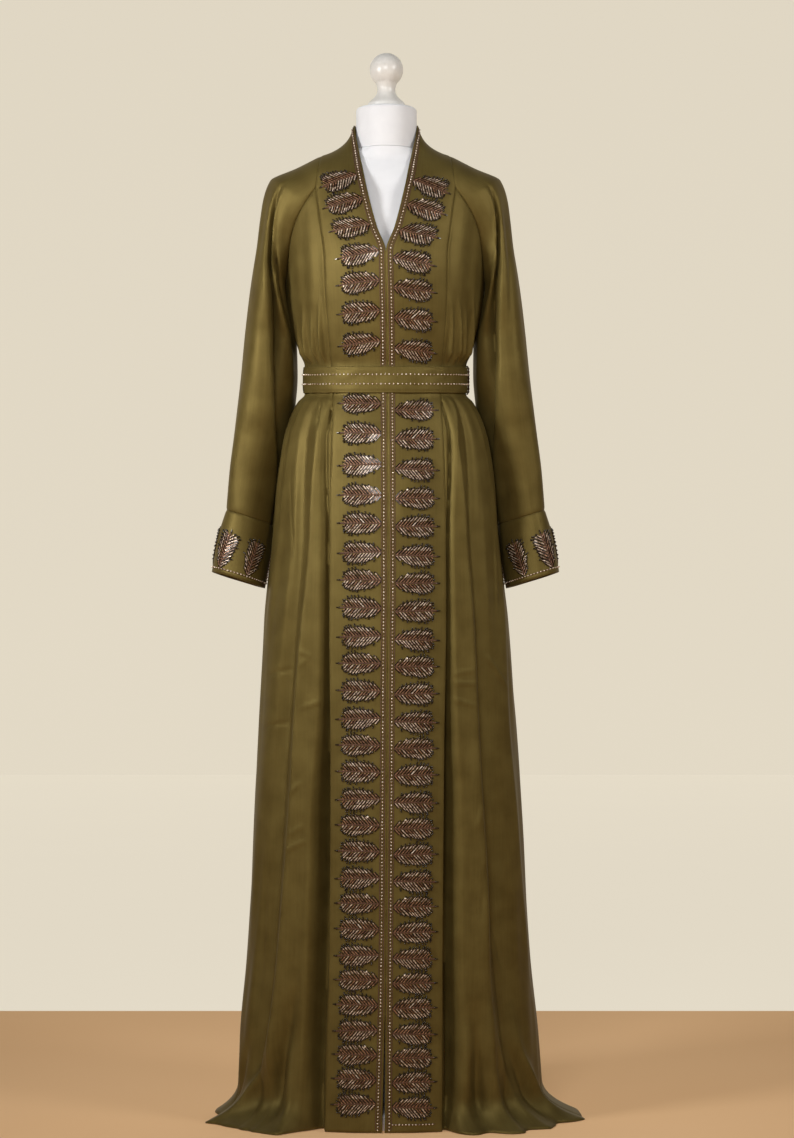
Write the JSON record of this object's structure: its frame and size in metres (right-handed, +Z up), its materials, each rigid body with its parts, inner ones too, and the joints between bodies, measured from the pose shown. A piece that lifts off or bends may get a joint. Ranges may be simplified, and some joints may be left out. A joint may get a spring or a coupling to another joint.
{
  "type": "abaya on a dress form",
  "caption": "Long belted satin abaya with raglan sleeves and wide front bands, on a limbless dress form with a finial, pole and round base.",
  "frame": {"origin": "centre of the stand base's flat underside, on the floor", "axes": "+Z up, the garment's front towards -Y, +X to the viewer's right"},
  "size_m": [0.5757, 0.3978, 1.6484],
  "materials": {
    "satin": "olive satin weave",
    "rouleau": "dark twisted cord",
    "hook_metal": "dark enamelled wire",
    "beads": "bronze bugle and seed beads",
    "jersey": "white stretch jersey",
    "painted_wood": "white satin paint",
    "stand_metal": "light grey powder coat"
  },
  "bodies": {
    "root": {"front_left": "satin", "front_right": "satin", "back": "satin", "sleeve_left": "satin", "sleeve_right": "satin", "cuff_left": "satin", "cuff_right": "satin", "band_left": "satin", "band_right": "satin", "belt": "satin", "belt_loop_left": "rouleau", "belt_loop_right": "rouleau", "cuff_hook_left": "hook_metal", "cuff_hook_right": "hook_metal", "form_torso": "jersey", "form_neck_cap": "jersey", "form_finial": "painted_wood", "stand_pole": "stand_metal", "stand_base": "stand_metal"}
  },
  "joints": []
}
